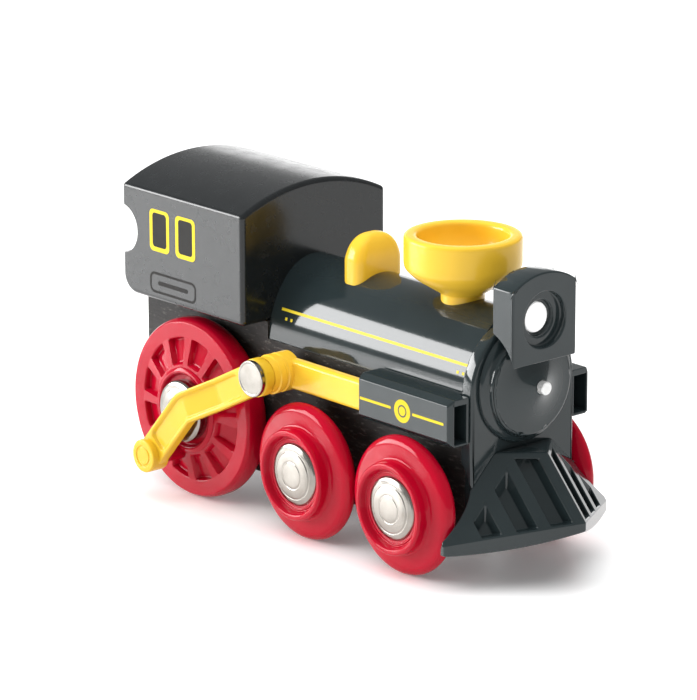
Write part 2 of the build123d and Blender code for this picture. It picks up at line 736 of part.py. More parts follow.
def piston_pin(side):
    cap_seat = ROD_FRONT_FACE + 0.1
    outline = [
        (0, BAR_INNER),
        (PIN_RADIUS, BAR_INNER),
        (PIN_RADIUS, cap_seat),
        (PIN_CAP_RADIUS, cap_seat),
        (PIN_CAP_RADIUS, cap_seat + PIN_CAP_THICKNESS - 0.15),
        (PIN_CAP_RADIUS - 0.15, cap_seat + PIN_CAP_THICKNESS),
        (0, cap_seat + PIN_CAP_THICKNESS),
    ]
    return turned([(r, side * y) for r, y in outline], PIN_X, PIN_Z)


def strip(start, end, half):
    """Straight band between two (x, z) points, for an XZ sketch."""
    run = Vector(end[0] - start[0], end[1] - start[1]).normalized()
    across = Vector(-run.Y, run.X) * half
    with BuildLine() as outline:
        Polyline(
            (start[0] + across.X, start[1] + across.Y),
            (end[0] + across.X, end[1] + across.Y),
            (end[0] - across.X, end[1] - across.Y),
            (start[0] - across.X, start[1] - across.Y),
            close=True,
        )
    make_face(outline.edges())


def joggle(side, front_low, front_high, rear_low, rear_high):
    """Plan-view band of the rod: outboard at the rear, inboard at the pin."""
    points = [
        (PIN_X + 2 * EYE_RADIUS, front_low),
        (JOGGLE_START, front_low),
        (JOGGLE_END, rear_low),
        (CRANK_X - 2 * EYE_RADIUS, rear_low),
        (CRANK_X - 2 * EYE_RADIUS, rear_high),
        (JOGGLE_END, rear_high),
        (JOGGLE_START, front_high),
        (PIN_X + 2 * EYE_RADIUS, front_high),
    ]
    with BuildPart() as band:
        with BuildSketch():
            with BuildLine():
                Polyline(*[(x, side * y) for x, y in points], close=True)
            make_face()
        extrude(amount=PIN_Z + 2 * EYE_RADIUS)
    return band.part


def connecting_rod(side):
    pin = (PIN_X, PIN_Z)
    knee = (KNEE_X, KNEE_Z)
    crank = (CRANK_X, CRANK_Z)
    web_half = ROD_HALF_WIDTH - ROD_BORDER
    web_front = Vector(*pin) + (Vector(*knee) - Vector(*pin)).normalized() * (EYE_RADIUS + 1.4)
    web_rear = Vector(*crank) + (Vector(*knee) - Vector(*crank)).normalized() * (EYE_RADIUS + 0.4)
    with BuildPart() as web:
        with BuildSketch(side_slab(side, ROD_INNER)):
            strip((web_front.X, web_front.Y), knee, web_half)
            strip(knee, (web_rear.X, web_rear.Y), web_half)
            with Locations(knee):
                Circle(web_half)
        extrude(amount=-side * (ROD_REAR_FACE - ROD_INNER))
        add(
            joggle(
                side,
                ROD_FRONT_FACE - ROD_WEB_DEPTH,
                ROD_FRONT_FACE,
                ROD_REAR_FACE - ROD_WEB_DEPTH,
                ROD_REAR_FACE,
            ),
            mode=Mode.INTERSECT,
        )
    with BuildPart() as rod:
        with BuildSketch(side_slab(side, ROD_INNER)):
            strip(pin, knee, ROD_HALF_WIDTH)
            strip(knee, crank, ROD_HALF_WIDTH)
            with Locations(knee):
                Circle(ROD_HALF_WIDTH)
            with Locations(pin):
                Circle(EYE_RADIUS)
        extrude(amount=-side * (ROD_REAR_FACE - ROD_INNER))
        add(joggle(side, ROD_INNER, ROD_FRONT_FACE, ROD_REAR_INNER, ROD_REAR_FACE), mode=Mode.INTERSECT)
        add(web.part, mode=Mode.SUBTRACT)
        with BuildSketch(side_slab(side, CRANK_EYE_INNER)):
            with Locations(crank):
                Circle(CRANK_EYE_RADIUS)
        extrude(amount=-side * (CRANK_EYE_FACE - CRANK_EYE_INNER))
        with BuildSketch(side_slab(side, CRANK_EYE_FACE)):
            with Locations(crank):
                Circle(EYE_RING[1])
                Circle(EYE_RING[0], mode=Mode.SUBTRACT)
        extrude(amount=side * EYE_RING_DEPTH, mode=Mode.SUBTRACT)
        with BuildSketch(side_slab(side, CRANK_PIN_END)):
            with Locations(crank):
                Circle(CRANK_PIN_RADIUS)
        extrude(amount=-side * (CRANK_EYE_INNER - CRANK_PIN_END))
        with BuildSketch(side_slab(side, ROD_INNER)):
            with Locations(pin):
                Circle(PIN_RADIUS + PIN_CLEARANCE)
        extrude(amount=-side * (ROD_FRONT_FACE - ROD_INNER), mode=Mode.SUBTRACT)
    return rod.part


for name, side in (("right", RIGHT), ("left", LEFT)):
    save(piston(side), f"piston_{name}")
    save(piston_pin(side), f"piston_pin_{name}")
    save(connecting_rod(side), f"rod_{name}")

# ---------------------------------------------------------------- hidden fixings
with BuildPart() as coupling_holder:
    with BuildSketch(Plane.YZ.offset(BODY_REAR)):
        with Locations((0, MAGNET_Z)):
            Circle(CUP_RADIUS)
    extrude(amount=-CUP_DEPTH)
    with BuildSketch(Plane.YZ.offset(BODY_REAR - CUP_FLOOR)):
        with Locations((0, MAGNET_Z)):
            Circle(MAGNET_RADIUS)
    extrude(amount=CUP_FLOOR - CUP_DEPTH, mode=Mode.SUBTRACT)
    with BuildSketch(Plane.YZ.offset(BODY_REAR)):
        with Locations((0, MAGNET_Z)):
            Circle(HITCH_SCREW_RADIUS)
    extrude(amount=-CUP_FLOOR, mode=Mode.SUBTRACT)
save(coupling_holder.part, "coupling_holder")

with BuildPart() as coupling_magnet:
    with BuildSketch(Plane.YZ.offset(BODY_REAR - CUP_FLOOR)):
        with Locations((0, MAGNET_Z)):
            Circle(MAGNET_RADIUS)
    extrude(amount=MAGNET_REAR - BODY_REAR + CUP_FLOOR)
    with BuildSketch(Plane.YZ.offset(BODY_REAR - CUP_FLOOR)):
        with Locations((0, MAGNET_Z)):
            Circle(HITCH_SCREW_RADIUS)
    extrude(amount=MAGNET_REAR - BODY_REAR + CUP_FLOOR, mode=Mode.SUBTRACT)
    with BuildSketch(Plane.YZ.offset(MAGNET_REAR)):
        with Locations((0, MAGNET_Z)):
            Circle(HITCH_SCREW_HEAD)
    extrude(amount=HITCH_SCREW_RADIUS, mode=Mode.SUBTRACT)
save(coupling_magnet.part, "coupling_magnet")

with BuildPart() as coupling_screw:
    with BuildSketch(Plane.YZ.offset(MAGNET_REAR + HITCH_SCREW_RADIUS)):
        with Locations((0, MAGNET_Z)):
            Circle(HITCH_SCREW_HEAD)
    extrude(amount=-HITCH_SCREW_RADIUS)
    with BuildSketch(Plane.YZ.offset(MAGNET_REAR + HITCH_SCREW_RADIUS)):
        with Locations((0, MAGNET_Z)):
            Circle(HITCH_SCREW_RADIUS)
    extrude(amount=BODY_REAR + HITCH_SCREW_LENGTH - MAGNET_REAR - HITCH_SCREW_RADIUS)
save(coupling_screw.part, "coupling_screw")

screws = []
for screw_x in SCREW_X:
    with BuildPart() as screw:
        with BuildSketch(Plane.XY.offset(CHASSIS_BOTTOM + SCREW_RECESS)):
            with Locations((screw_x, 0)):
                Circle(SCREW_HEAD_RADIUS)
        extrude(amount=SCREW_HEAD_HEIGHT)
        with BuildSketch(Plane.XY.offset(CHASSIS_BOTTOM + SCREW_RECESS)):
            with Locations((screw_x, 0)):
                Circle(SCREW_RADIUS)
        extrude(amount=SCREW_TIP - CHASSIS_BOTTOM - SCREW_RECESS)
    screws.append(screw.part)
save(Compound(children=screws), "body_screws")
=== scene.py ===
"""Toy steam locomotive: looks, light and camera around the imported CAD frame."""
import math

import bmesh
import bpy
from mathutils import Matrix, Vector


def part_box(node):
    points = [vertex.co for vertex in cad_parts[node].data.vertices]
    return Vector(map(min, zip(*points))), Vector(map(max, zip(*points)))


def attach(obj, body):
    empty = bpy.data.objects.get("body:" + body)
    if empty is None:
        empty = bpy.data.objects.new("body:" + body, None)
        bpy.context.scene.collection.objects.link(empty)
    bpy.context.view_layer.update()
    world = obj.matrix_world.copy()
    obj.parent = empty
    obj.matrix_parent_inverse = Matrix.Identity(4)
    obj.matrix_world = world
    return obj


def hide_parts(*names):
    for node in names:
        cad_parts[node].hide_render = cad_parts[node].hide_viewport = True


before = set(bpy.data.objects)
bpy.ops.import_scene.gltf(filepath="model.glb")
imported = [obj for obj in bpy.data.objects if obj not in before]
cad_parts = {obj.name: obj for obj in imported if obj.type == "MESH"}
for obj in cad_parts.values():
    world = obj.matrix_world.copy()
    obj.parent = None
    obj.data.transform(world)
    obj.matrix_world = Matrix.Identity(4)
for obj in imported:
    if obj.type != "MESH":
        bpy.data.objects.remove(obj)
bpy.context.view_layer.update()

MM = 0.001
RIGHT = -1
LEFT = 1
SIDES = (("right", RIGHT), ("left", LEFT))
REAR_AXLE_X = -24.8
axle_low, axle_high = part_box("rear_axle")
# x values below are counted from a point 24.8 mm ahead of the rear axle; DATUM is that point in the frame
DATUM = Vector(((axle_low.x + axle_high.x) / 2 - REAR_AXLE_X * MM, 0, 0))


# ------------------------------------------------------------------ materials
def noise(tree, vector, scale, detail, roughness=0.5):
    """Output of a noise texture."""
    node = tree.nodes.new("ShaderNodeTexNoise")
    node.inputs["Scale"].default_value = scale
    node.inputs["Detail"].default_value = detail
    node.inputs["Roughness"].default_value = roughness
    tree.links.new(vector, node.inputs["Vector"])
    return node.outputs["Fac"]


def ranged(tree, value, low, high, from_low=0.3, from_high=0.7):
    """The value mapped from one range to another and held at its ends."""
    node = tree.nodes.new("ShaderNodeMapRange")
    node.inputs["From Min"].default_value = from_low
    node.inputs["From Max"].default_value = from_high
    node.inputs["To Min"].default_value = low
    node.inputs["To Max"].default_value = high
    tree.links.new(value, node.inputs["Value"])
    return node.outputs["Result"]


def mixed(tree, factor, first, second):
    """Colour between two colours or colour outputs."""
    node = tree.nodes.new("ShaderNodeMix")
    node.data_type = "RGBA"
    tree.links.new(factor, node.inputs["Factor"])
    for socket, value in ((node.inputs["A"], first), (node.inputs["B"], second)):
        if isinstance(value, tuple):
            socket.default_value = (*value, 1)
        else:
            tree.links.new(value, socket)
    return node.outputs["Result"]


def look(
    name,
    dark,
    light,
    rough,
    stretch=(1, 1, 1),
    patch=60,
    grain=900,
    bump=0.15,
    depth=0.00003,
    speck=None,
    metallic=0.0,
    coat=0.0,
    coat_rough=0.05,
    specular=0.5,
    glow=0.0,
    octaves=6,
):
    """Mottled colour between dark and light, roughness between two values, and a fine bump."""
    mat = bpy.data.materials.new(name)
    mat.use_nodes = True
    tree = mat.node_tree
    bsdf = tree.nodes["Principled BSDF"]
    place = tree.nodes.new("ShaderNodeTexCoord")
    stretched = tree.nodes.new("ShaderNodeMapping")
    stretched.inputs["Scale"].default_value = stretch
    tree.links.new(place.outputs["Object"], stretched.inputs["Vector"])
    vector = stretched.outputs["Vector"]
    broad = noise(tree, vector, patch, 4)
    fine = noise(tree, vector, grain, octaves, 0.6)
    colour = mixed(tree, ranged(tree, broad, 0, 1), dark, light)
    if speck:
        dots = noise(tree, vector, grain * 0.7, 8, 0.75)
        colour = mixed(tree, ranged(tree, dots, 0, 1, 0.55, 0.72), colour, speck)
    tree.links.new(colour, bsdf.inputs["Base Color"])
    tree.links.new(ranged(tree, fine, rough[0], rough[1]), bsdf.inputs["Roughness"])
    relief = tree.nodes.new("ShaderNodeBump")
    relief.inputs["Strength"].default_value = bump
    relief.inputs["Distance"].default_value = depth
    tree.links.new(fine, relief.inputs["Height"])
    tree.links.new(relief.outputs["Normal"], bsdf.inputs["Normal"])
    bsdf.inputs["Metallic"].default_value = metallic
    bsdf.inputs["Coat Weight"].default_value = coat
    bsdf.inputs["Coat Roughness"].default_value = coat_rough
    bsdf.inputs["Specular IOR Level"].default_value = specular
    bsdf.inputs["Emission Color"].default_value = (1, 1, 1, 1)
    bsdf.inputs["Emission Strength"].default_value = glow
    return mat


LOOKS = {
    "black_stained_wood": look(
        "black_stained_wood", (0.012, 0.0115, 0.011), (0.028, 0.0265, 0.025), (0.35, 0.6),
        stretch=(0.3, 1, 1), patch=500, grain=2600, bump=0.5, depth=0.00008, speck=(0.16, 0.15, 0.14),
        specular=0.22,
    ),
    "lacquered_wood": look(
        "lacquered_wood", (0.006, 0.0078, 0.0088), (0.0095, 0.0118, 0.013), (0.2, 0.3), octaves=2,
        patch=420, grain=420, bump=0.18, depth=0.00005, coat=0.34, coat_rough=0.14, specular=0.34,
    ),
    "slate_plastic": look(
        "slate_plastic", (0.016, 0.024, 0.026), (0.02, 0.029, 0.031), (0.07, 0.12),
        patch=120, grain=1500, bump=0.06, depth=0.00001, coat=0.3, coat_rough=0.03, specular=0.32,
    ),
    "black_plastic": look("black_plastic", (0.01, 0.01, 0.01), (0.016, 0.016, 0.016), (0.3, 0.42)),
    "yellow_plastic": look(
        "yellow_plastic", (0.86, 0.52, 0.036), (0.9, 0.57, 0.046), (0.16, 0.26),
        patch=90, bump=0.08, specular=0.35,
    ),
    "lemon_plastic": look(
        "lemon_plastic", (0.73, 0.45, 0.024), (0.77, 0.5, 0.032), (0.16, 0.26),
        patch=90, bump=0.08, specular=0.3,
    ),
    "red_plastic": look(
        "red_plastic", (0.4, 0.0015, 0.016), (0.46, 0.002, 0.02), (0.07, 0.12),
        patch=90, bump=0.04, specular=0.2,
    ),
    # pale_plastic glows though it is no lamp: painted light that keeps the headlamp lens bright white in its
    # shade
    "pale_plastic": look("pale_plastic", (0.9, 0.9, 0.88), (0.95, 0.95, 0.94), (0.25, 0.35), glow=0.35),
    "pale_steel": look("pale_steel", (0.86, 0.86, 0.85), (0.93, 0.93, 0.92), (0.45, 0.6), metallic=0.6),
    "nickel": look(
        "nickel", (0.27, 0.255, 0.23), (0.38, 0.36, 0.33), (0.15, 0.27),
        patch=300, metallic=1.0, bump=0.12,
    ),
    "bright_steel": look("bright_steel", (0.3, 0.3, 0.3), (0.4, 0.4, 0.39), (0.42, 0.56), metallic=1),
}
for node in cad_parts.values():
    for slot in node.material_slots:
        slot.material = LOOKS[slot.name.split(".")[0]]


# ------------------------------------------------------------------ moulded edges of the CAD pieces that stay
WELD_DISTANCE = 0.002
BEVEL_ANGLE = math.radians(35)
EDGE_RADIUS = {
    "headlamp_housing": 0.3,
    "cylinder_right": 0.22,
    "cylinder_left": 0.22,
    "cowcatcher": 0.3,
    "smokebox_plate": 0.2,
    "smokebox_door": 0.25,
}
for name, radius in EDGE_RADIUS.items():
    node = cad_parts[name]
    weld = node.modifiers.new("joined_seams", "WELD")
    weld.merge_threshold = WELD_DISTANCE * MM
    bevel = node.modifiers.new("moulded_edges", "BEVEL")
    bevel.width = radius * MM
    bevel.segments = 3
    bevel.limit_method = "ANGLE"
    bevel.angle_limit = BEVEL_ANGLE
    bevel.use_clamp_overlap = False
    bevel.harden_normals = True


# ------------------------------------------------------------------ mesh helpers, all sizes in mm
def piece(name, verts, faces, body, slot, replaces=(), sharp=40):
    """Makes a visible piece that rides on a body and may take the place of CAD pieces."""
    mesh = bpy.data.meshes.new(name)
    mesh.from_pydata([Vector(v) * MM + DATUM for v in verts], [], faces)
    shell = bmesh.new()
    shell.from_mesh(mesh)
    bmesh.ops.recalc_face_normals(shell, faces=shell.faces)
    shell.to_mesh(mesh)
    shell.free()
    mesh.shade_smooth()
    mesh.set_sharp_from_angle(angle=math.radians(sharp))
    made = bpy.data.objects.new(name, mesh)
    bpy.context.scene.collection.objects.link(made)
    mesh.materials.append(LOOKS[slot])
    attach(made, body)
    if replaces:
        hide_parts(*replaces)
    return made


def soften(corners, steps=6):
    """Profile points from (u, v, cut) corners: each corner is rounded from cut before it to cut after it."""
    line = []
    for index, (u, v, cut) in enumerate(corners):
        here = Vector((u, v))
        if cut == 0:
            line.append((u, v))
            continue
        before = Vector(corners[index - 1][:2]) - here
        after = Vector(corners[(index + 1) % len(corners)][:2]) - here
        first = here + before.normalized() * min(cut, before.length / 2)
        last = here + after.normalized() * min(cut, after.length / 2)
        for step in range(steps + 1):
            t = step / steps
            line.append(tuple(first * (1 - t) ** 2 + here * 2 * t * (1 - t) + last * t * t))
    return line


def lathe(profile, place, segments=128, closed=False, relief=None):
    """Vertices and faces of (radius, height) turned round; place(u, v, height) puts a point in the frame."""
    verts, rings = [], []
    for radius, height in profile:
        ring = []
        for step in range(segments if radius > 1e-6 else 1):
            angle = 2 * math.pi * step / segments
            level = relief(radius, angle, height) if relief else height
            ring.append(len(verts))
            verts.append(place(radius * math.cos(angle), radius * math.sin(angle), level))
        rings.append(ring)
    pairs = list(zip(rings, rings[1:] + rings[:1])) if closed else list(zip(rings, rings[1:]))
    faces = []
    for low, high in pairs:
        for step in range(segments):
            after = step + 1
            quad = (
                low[step % len(low)],
                low[after % len(low)],
                high[after % len(high)],
                high[step % len(high)],
            )
            face = list(dict.fromkeys(quad))
            if len(face) > 2:
                faces.append(face)
    return verts, faces


def across(x, z, side):
    """Puts a turned piece on the axle line through (x, z), growing outward on one side."""
    return lambda u, v, height: (x + u, side * height, z + v)


def middle(node):
    """Centre of a CAD piece's box, in mm."""
    low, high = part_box(node)
    return ((low + high) / 2 - DATUM) / MM


# ------------------------------------------------------------------ wheels and caps
# (x, z) at rest of the rod's pin, its bend and its crank end, which lies over a boss on the rear wheel
PIN = Vector((-3.4, 25.7))
KNEE = Vector((-19.6, 17.4))
CRANK = Vector((-28.2, 7.6))

SMALL_WHEEL = [
    (1.5, 10.5, 0), (5.0, 10.5, 0.3), (5.0, 12.7, 0.4), (9.4, 12.8, 0.4), (10.6, 13.7, 0.6),
    (11.1, 14.4, 0.3), (11.1, 15.0, 0.3), (10.75, 15.6, 0.35), (10.1, 16.0, 0.4), (8.5, 16.3, 0.6),
    (7.6, 16.5, 0.25), (7.35, 16.85, 0.25), (7.35, 18.22, 0.25), (7.1, 18.5, 0.2), (6.55, 18.5, 0.2),
    (6.3, 18.3, 0.2), (6.0, 17.45, 0.2), (5.85, 17.38, 0.08), (5.75, 17.5, 0.08), (5.6, 17.5, 0.08),
    (5.5, 17.35, 0.08), (5.12, 17.3, 0), (5.1, 15.9, 0), (1.5, 15.9, 0),
]
for axle in ("front", "middle"):
    hub = middle(f"{axle}_axle")
    for name, side in SIDES:
        verts, faces = lathe(soften(SMALL_WHEEL), across(hub.x, hub.z, side), closed=True)
        node = f"{axle}_wheel_{name}"
        piece(f"{node}_turned", verts, faces, f"{axle}_wheelset", "red_plastic", [node])

POCKETS = 12
POCKET_START = 0.29
POCKET_HALF_ANGLE = 0.185
POCKET_INNER = 7.45
POCKET_OUTER = 11.9
POCKET_FLOOR = 13.95
POCKET_SLOPE = 0.24
POCKET_CORNER = 0.3
POCKET_WALL = 0.4
POCKET_REACH = 0.3
SPOKE_ROWS = 40
SPOKE_OUTER = 12.2
SPOKE_INNER = 7.3
SPOKE_FACE = 15.05
SPOKE_RISE = 0.18
SPOKED_SEGMENTS = 384
BOSS_SEGMENTS = 64
rear_hub = middle("rear_axle")


def pocket_relief(radius, angle, height):
    """Sinks the twelve rounded pockets between the spokes of a rear wheel."""
    if height < POCKET_FLOOR or not POCKET_INNER - POCKET_REACH < radius < POCKET_OUTER + POCKET_REACH:
        return height
    pitch = 2 * math.pi / POCKETS
    off = abs((angle - POCKET_START + pitch / 2) % pitch - pitch / 2)
    along = abs(radius - (POCKET_INNER + POCKET_OUTER) / 2) - (POCKET_OUTER - POCKET_INNER) / 2
    aside = (off - POCKET_HALF_ANGLE) * radius
    corner = math.hypot(max(along + POCKET_CORNER, 0), max(aside + POCKET_CORNER, 0))
    reach = corner + min(max(along + POCKET_CORNER, aside + POCKET_CORNER), 0) - POCKET_CORNER
    depth = min(max(-reach / POCKET_WALL, 0), 1)
    floor = POCKET_FLOOR + (POCKET_OUTER - radius) * POCKET_SLOPE
    return height + (floor - height) * depth * depth * (3 - 2 * depth)


REAR_RIM = [
    (1.5, 10.5, 0), (13.4, 10.5, 0.5), (14.5, 11.0, 0.5), (14.95, 12.0, 0.5), (14.95, 13.6, 0.5),
    (14.8, 14.4, 0.3), (14.35, SPOKE_FACE, 0.18), (12.3, SPOKE_FACE, 0),
]
REAR_HUB = [
    (7.15, 15.95, 0.2), (6.7, 16.25, 0.2), (6.4, 16.4, 0.15), (6.1, 16.25, 0.2), (5.8, 15.6, 0.2),
    (5.12, 15.55, 0), (1.5, 15.6, 0),
]
CRANK_BOSS = [(0, 13.9, 0), (1.9, 13.9, 0), (1.9, 18.0, 0.25), (0, 18.0, 0)]
spoke_band = []
for row in range(SPOKE_ROWS):
    radius = SPOKE_OUTER + (SPOKE_INNER - SPOKE_OUTER) * row / (SPOKE_ROWS - 1)
    spoke_band.append((radius, SPOKE_FACE + max(POCKET_OUTER - radius, 0) * SPOKE_RISE))
rear_profile = soften(REAR_RIM) + spoke_band + soften(REAR_HUB)
for name, side in SIDES:
    place = across(rear_hub.x, rear_hub.z, side)
    verts, faces = lathe(rear_profile, place, SPOKED_SEGMENTS, True, pocket_relief)
    piece(f"rear_wheel_{name}_spoked", verts, faces, "rear_wheelset", "red_plastic", [f"rear_wheel_{name}"])
    verts, faces = lathe(soften(CRANK_BOSS), across(CRANK.x, CRANK.y, side), BOSS_SEGMENTS)
    piece(f"crank_boss_{name}", verts, faces, "rear_wheelset", "red_plastic")

CAP_EDGE = 5.1
CAP_RISE = 0.9
CAP_GROOVE = 0.06
CAP_SEATS = (("front", 15.9, 17.3), ("middle", 15.9, 17.3), ("rear", 15.6, 17.1))
# radius, depth below the domed face and corner cut: two shallow rings are pressed into each cap
CAP_RINGS = (
    (1.0, 0, 0.1), (1.6, 0, 0.1), (2.0, 0, 0.05), (2.1, CAP_GROOVE, 0.05), (2.3, CAP_GROOVE, 0.05),
    (2.4, 0, 0.05), (3.0, 0, 0.05), (3.7, 0, 0.05), (3.8, CAP_GROOVE, 0.05), (4.0, CAP_GROOVE, 0.05),
    (4.1, 0, 0.05), (4.5, 0, 0.05), (4.85, 0, 0.05),
)
for axle, seat, foot in CAP_SEATS:
    hub = middle(f"{axle}_axle")
    cap_line = [(0, foot + CAP_RISE, 0)]
    for radius, sink, cut in CAP_RINGS:
        cap_line.append((radius, foot + CAP_RISE * math.sqrt(1 - (radius / CAP_EDGE) ** 2) - sink, cut))
    cap_line += [(CAP_EDGE, foot, 0.1), (CAP_EDGE, seat, 0), (0, seat, 0)]
    for name, side in SIDES:
        verts, faces = lathe(soften(cap_line), across(hub.x, hub.z, side))
        replaced = [f"{axle}_hub_caps"] if side == RIGHT else ()
        piece(f"{axle}_cap_{name}", verts, faces, f"{axle}_wheelset", "nickel", replaced)

# ------------------------------------------------------------------ funnel and steam dome
FUNNEL = [
    (0, 40.1, 0), (3.45, 40.1, 0), (3.45, 41.9, 0.25), (7.5, 44.4, 1.2), (9.0, 45.8, 0.8),
    (9.25, 46.6, 0.6), (9.25, 51.3, 0.7), (7.2, 51.3, 0.7), (6.9, 48.3, 1.6), (5.2, 45.6, 2.0),
    (2.4, 44.95, 1.4), (0, 44.9, 0),
]
FUNNEL_STEPS = 10
funnel_x = middle("funnel").x
verts, faces = lathe(soften(FUNNEL, FUNNEL_STEPS), lambda u, v, height: (funnel_x + u, v, height))
piece("funnel_turned", verts, faces, "frame", "yellow_plastic", ["funnel"])


def rounded_loop(half_x, half_y, corner, steps=10):
    """Points round a rectangle with rounded corners, centred on zero."""
    loop = []
    for quarter, (sx, sy) in enumerate(((1, 1), (-1, 1), (-1, -1), (1, -1))):
        for step in range(steps + 1):
            angle = math.pi / 2 * (quarter + step / steps)
            loop.append(
                (
                    sx * (half_x - corner) + corner * math.cos(angle),
                    sy * (half_y - corner) + corner * math.sin(angle),
                )
            )
    return loop


def stitch(rings):
    """Faces between equal rings of vertex numbers, with the first and last ring filled."""
    faces = []
    for low, high in zip(rings, rings[1:]):
        count = len(low)
        for step in range(count):
            faces.append((low[step], low[(step + 1) % count], high[(step + 1) % count], high[step]))
    return faces + [tuple(rings[0]), tuple(rings[-1])]


DOME_FOOT = 38.3
DOME_WALL = 41.0
DOME_SPRING = 43.0
DOME_CORNER = 1.7
DOME_STEPS = 24
TAPER_X, TAPER_Y, TAPER_Z = 0.62, 0.8, 1.15


def steam_dome():
    """Rounded block whose every level is a rounded rectangle, drawn in towards the arched top."""
    centre = middle("dome")
    low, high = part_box("dome")
    half_x, half_y = (high.x - low.x) / 2 / MM, (high.y - low.y) / 2 / MM
    verts, rings = [], []
    levels = [(0.0, DOME_FOOT), (0.0, DOME_WALL)]
    levels += [(step / DOME_STEPS, None) for step in range(DOME_STEPS)]
    for share, fixed in levels:
        lift = math.sin(share * math.pi / 2)
        shrink = math.cos(share * math.pi / 2)
        size_x = half_x * shrink**TAPER_X
        size_y = half_y * shrink**TAPER_Y
        ring = []
        for x, y in rounded_loop(size_x, size_y, min(DOME_CORNER, size_x * 0.8)):
            z = fixed or DOME_SPRING + (high.z / MM - DOME_SPRING) * lift**TAPER_Z
            ring.append(len(verts))
            verts.append((centre.x + x, y, z))
        rings.append(ring)
    return verts, stitch(rings)


piece("dome_moulded", *steam_dome(), "frame", "yellow_plastic", ["dome"], sharp=70)


# ------------------------------------------------------------------ connecting rods, pins
ROD_HALF = 2.6
ROD_EYE = 3.1
ROD_EDGE = 0.28
ROD_BORDER = 0.65
WEB_DEPTH = 0.5
WEB_WALL = 0.3
WEB_CORNER = 0.9
KNEE_BEND = 0.9
KNEE_STEPS = 24
ROD_STEPS = 150
EYE_SEGMENTS = 96
WEB_FRONT_GAP = 1.0
WEB_REAR_GAP = 0.2
LEAST_HALF = 0.02
END_CROWDING = 0.08
BACK_EDGE = 0.2
# between these two x places the rod steps outwards, from the piston's plane to the crank's
JOGGLE_START, JOGGLE_END = -12.9, -19.3
ROD_INNER, INNER_STEP = 17.6, 1.7
ROD_OUTER, OUTER_STEP = 19.4, 1.8
# where the mesh has lines across half the rod's width, 1 at its edge
HALF_WIDTH_LINES = [1, 0.99, 0.965, 0.93, 0.88, 0.8, 0.7, 0.66, 0.62, 0.58, 0.54, 0.4, 0.2]
WIDTH_LINES = [-share for share in HALF_WIDTH_LINES] + [0] + HALF_WIDTH_LINES[::-1]


def eased(value):
    value = min(max(value, 0), 1)
    return value * value * (3 - 2 * value)


def rod_path():
    """Centre line of the rod as (point, direction, distance from the pin), and the length pin to crank."""
    fore = KNEE + (PIN - KNEE).normalized() * KNEE_BEND
    aft = KNEE + (CRANK - KNEE).normalized() * KNEE_BEND
    line = [PIN]
    for step in range(KNEE_STEPS + 1):
        t = step / KNEE_STEPS
        line.append(fore * (1 - t) ** 2 + KNEE * 2 * t * (1 - t) + aft * t * t)
    line.append(CRANK)
    runs = [0.0]
    for a, b in zip(line, line[1:]):
        runs.append(runs[-1] + (b - a).length)
    total = runs[-1]
    points = []
    for step in range(ROD_STEPS + 1):
        share = step / ROD_STEPS
        share -= END_CROWDING * math.sin(2 * math.pi * share)
        s = -ROD_EYE + (total + ROD_EYE + ROD_HALF) * share
        index = max(i for i in range(len(runs) - 1) if runs[i] <= max(s, 0))
        ahead = (line[index + 1] - line[index]).normalized()
        points.append((line[index] + ahead * (s - runs[index]), ahead, s))
    return points, total


def rod_mesh(side):
    """Rings of points across the bent rod, with round ends, a sunk web and a step outwards at the knee."""
    points, total = rod_path()
    verts, rings = [], []
    for centre, ahead, s in points:
        aside = Vector((-ahead.y, ahead.x))
        if s < 0:
            half = math.sqrt(max(ROD_EYE**2 - s * s, 0))
        elif s > total:
            half = math.sqrt(max(ROD_HALF**2 - (s - total) ** 2, 0))
        else:
            half = max(ROD_HALF, math.sqrt(max(ROD_EYE**2 - s * s, 0)))
        half = max(half, LEAST_HALF)
        shift = min(max((centre.x - JOGGLE_START) / (JOGGLE_END - JOGGLE_START), 0), 1)
        inner = ROD_INNER + INNER_STEP * shift
        outer = ROD_OUTER + OUTER_STEP * shift
        ring = []
        for share in WIDTH_LINES:
            t = share * half
            edge = min(half - abs(t), ROD_EYE + s, total + ROD_HALF - s)
            drop = 0.0
            if edge < ROD_EDGE:
                drop = ROD_EDGE - math.sqrt(max(ROD_EDGE**2 - (ROD_EDGE - edge) ** 2, 0))
            web_end = max(ROD_EYE + WEB_FRONT_GAP - s, s - (total - ROD_EYE - WEB_REAR_GAP))
            web_side = abs(t) - (ROD_HALF - ROD_BORDER)
            past_end, past_side = web_end + WEB_CORNER, web_side + WEB_CORNER
            reach = math.hypot(max(past_end, 0), max(past_side, 0)) - WEB_CORNER
            reach += min(max(past_end, past_side), 0)
            drop += WEB_DEPTH * eased(-reach / WEB_WALL)
            ring.append((t, outer - drop))
        back = max(half - BACK_EDGE, LEAST_HALF / 2)
        ring += [(half, inner + BACK_EDGE), (back, inner), (-back, inner), (-half, inner + BACK_EDGE)]
        numbers = []
        for t, y in ring:
            spot = centre + aside * t
            numbers.append(len(verts))
            verts.append((spot.x, side * y, spot.y))
        rings.append(numbers)
    return verts, stitch(rings)


